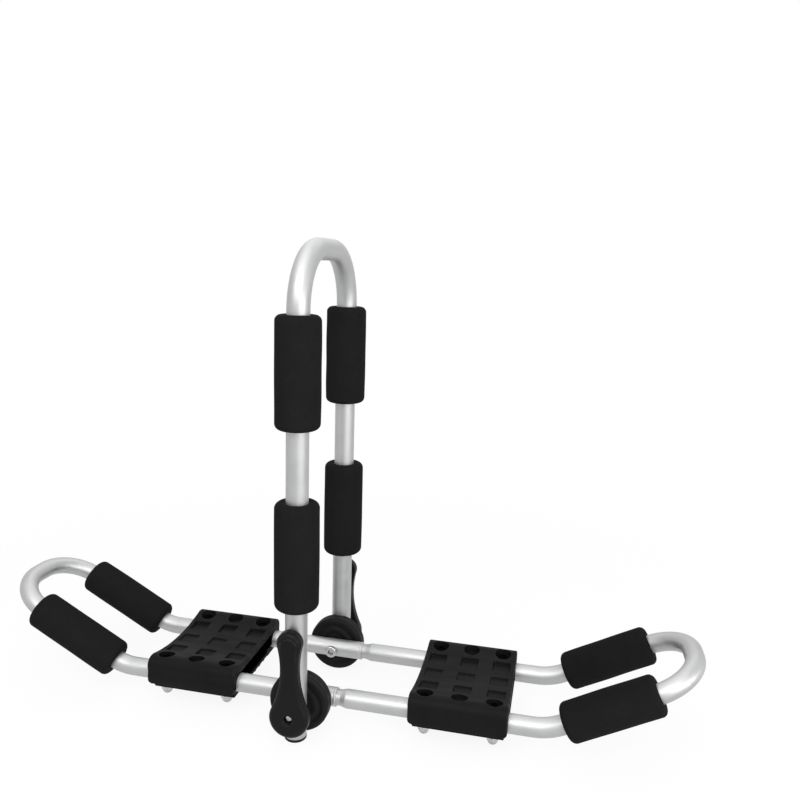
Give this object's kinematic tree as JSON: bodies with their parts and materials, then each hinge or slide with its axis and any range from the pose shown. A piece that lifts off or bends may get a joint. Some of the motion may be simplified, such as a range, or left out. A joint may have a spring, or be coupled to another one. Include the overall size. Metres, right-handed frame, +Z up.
{
  "type": "folding kayak rack",
  "caption": "Roof-bar kayak rack: a tube cradle with raised foam-covered arms, saddles that clamp on a bar, and a foam-covered mast that folds on lever-locked knuckles.",
  "frame": {"origin": "centre of the box's underside, on the level of the mast's end plugs", "axes": "+X along the rails, to the right in the picture; +Y from the front rail to the rear rail; +Z up"},
  "size_m": [0.861, 0.2384, 0.5722],
  "materials": {
    "tube": "satin anodised",
    "black_plastic": "fine matte moulded",
    "foam": "closed-cell foam, matte",
    "rubber_strip": "matte",
    "plated_steel": "bright zinc plated"
  },
  "bodies": {
    "frame": {"left_frame_tube": "tube", "right_frame_tube": "tube", "left_front_arm_foam": "foam", "left_rear_arm_foam": "foam", "right_front_arm_foam": "foam", "right_rear_arm_foam": "foam", "left_saddle": "black_plastic", "left_clamp_plate": "black_plastic", "left_bar_strip": "rubber_strip", "left_saddle_bolts": "plated_steel", "left_saddle_washers": "plated_steel", "left_cap_nuts": "plated_steel", "right_saddle": "black_plastic", "right_clamp_plate": "black_plastic", "right_bar_strip": "rubber_strip", "right_saddle_bolts": "plated_steel", "right_saddle_washers": "plated_steel", "right_cap_nuts": "plated_steel", "front_rail_knuckle": "black_plastic", "rear_rail_knuckle": "black_plastic"},
    "mast": {"mast_tube": "tube", "front_end_plug": "black_plastic", "rear_end_plug": "black_plastic", "upper_front_mast_foam": "foam", "upper_rear_mast_foam": "foam", "lower_front_mast_foam": "foam", "lower_rear_mast_foam": "foam", "front_mast_knuckle": "black_plastic", "rear_mast_knuckle": "black_plastic", "front_pivot_bolt": "plated_steel", "rear_pivot_bolt": "plated_steel", "front_leg_spacer": "black_plastic", "rear_leg_spacer": "black_plastic"},
    "front_lever": {"front_lever": "black_plastic", "front_lever_nut": "plated_steel"},
    "rear_lever": {"rear_lever": "black_plastic", "rear_lever_nut": "plated_steel"}
  },
  "joints": [
    {"name": "mast_fold", "type": "hinge", "parent": "frame", "child": "mast", "pos_m": [-0.022, 0, 0.0375], "axis": [0, 1, 0], "range_deg": [-71, 71]},
    {"name": "front_lever_turn", "type": "hinge", "parent": "mast", "child": "front_lever", "pos_m": [-0.022, -0.1052, 0.0375], "axis": [0, -1, 0], "range_deg": [0, 180]},
    {"name": "rear_lever_turn", "type": "hinge", "parent": "mast", "child": "rear_lever", "pos_m": [-0.022, 0.1052, 0.0375], "axis": [0, 1, 0], "range_deg": [0, 180]}
  ]
}
